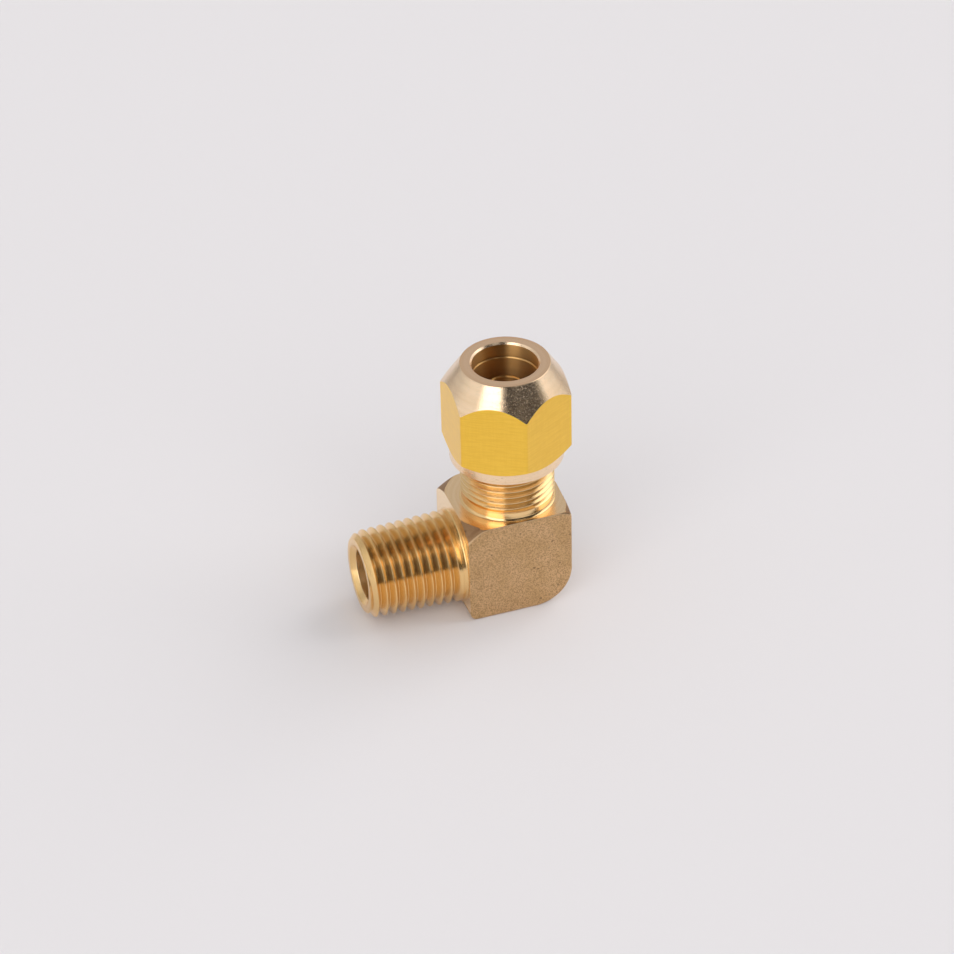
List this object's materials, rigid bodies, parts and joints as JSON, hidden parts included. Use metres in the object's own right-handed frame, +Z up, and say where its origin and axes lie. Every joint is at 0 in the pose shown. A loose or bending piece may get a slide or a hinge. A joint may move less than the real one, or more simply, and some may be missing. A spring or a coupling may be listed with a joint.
{
  "type": "compression fitting",
  "caption": "Brass right-angle compression fitting: a hexagonal nut clamps a tube on the upright leg, and the side leg has a tapered male pipe thread.",
  "frame": {"origin": "on the block's flat underside, straight below the compression leg's axis", "axes": "+Z up along the compression leg and nut; the pipe-thread leg runs out along -X; the forged flat sides face -Y and +Y"},
  "size_m": [0.0321, 0.0196, 0.0398],
  "materials": {
    "forged_body": "forged and blasted sides, turned threads and faces",
    "nut": "drawn hexagon flats, turned cone and collar",
    "sleeve": "bright turned",
    "tube_support": "bright turned"
  },
  "bodies": {
    "elbow": {"elbow_body": "forged_body", "tube_support": "tube_support"},
    "sleeve": {"sleeve": "sleeve"},
    "nut": {"compression_nut": "nut"}
  },
  "joints": [
    {"name": "sleeve_slide", "type": "slide", "parent": "elbow", "child": "sleeve", "axis": [0, 0, 1], "range_m": [-0.0016, 0.0051]},
    {"name": "nut_turn", "type": "hinge", "parent": "sleeve", "child": "nut", "pos_m": [0, 0, 0.0322], "axis": [0, 0, 1], "range_deg": [-540, 1800]}
  ],
  "couplings": [
    {"joint": "sleeve_slide", "follows": "nut_turn", "m_per_rad": 0.00015915}
  ]
}
